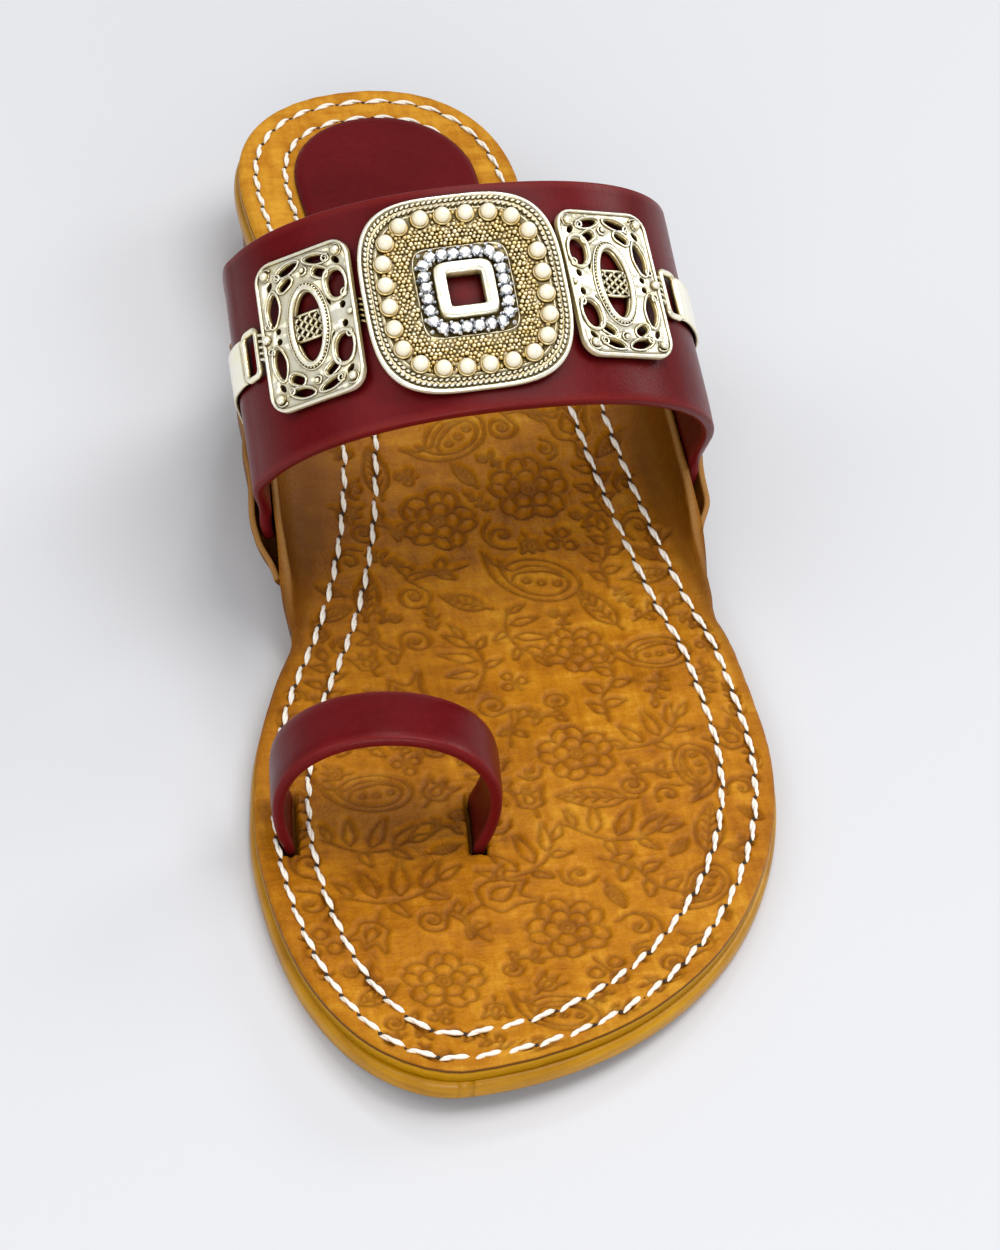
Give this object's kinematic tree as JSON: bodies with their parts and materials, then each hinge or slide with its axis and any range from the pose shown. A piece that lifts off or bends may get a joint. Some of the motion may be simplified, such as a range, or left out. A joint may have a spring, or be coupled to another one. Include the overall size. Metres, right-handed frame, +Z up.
{
  "type": "toe loop sandal",
  "caption": "Flat leather toe-loop sandal for the left foot: stacked leather sole with low heel, wide instep strap held in turned-up ears, and a gold-tone plate chain across the strap.",
  "frame": {"origin": "middle of the sandal's own width and length, on the floor it stands on", "axes": "+Z up; the toe points along -Y; +X is the little-toe side and -X the big-toe side"},
  "size_m": [0.0944, 0.256, 0.0781],
  "materials": {
    "tan_leather": "tooled, satin",
    "edge_leather": "burnished edge",
    "heel_leather": "stacked, satin",
    "maroon_leather": "smooth, semi-gloss",
    "pale_gold": "pale gold plate, polished"
  },
  "bodies": {
    "root": {"outsole": "edge_leather", "heel": "heel_leather", "footbed": "tan_leather", "ear_wall_medial": "tan_leather", "ear_wall_lateral": "tan_leather", "instep_strap": "maroon_leather", "toe_loop": "maroon_leather", "heel_pad": "maroon_leather", "medallion": "pale_gold", "side_plate_medial": "pale_gold", "side_plate_lateral": "pale_gold", "end_coil_medial": "pale_gold", "end_coil_lateral": "pale_gold", "end_ring_medial": "pale_gold", "end_ring_lateral": "pale_gold", "end_tab_medial": "pale_gold", "end_tab_lateral": "pale_gold"}
  },
  "joints": []
}
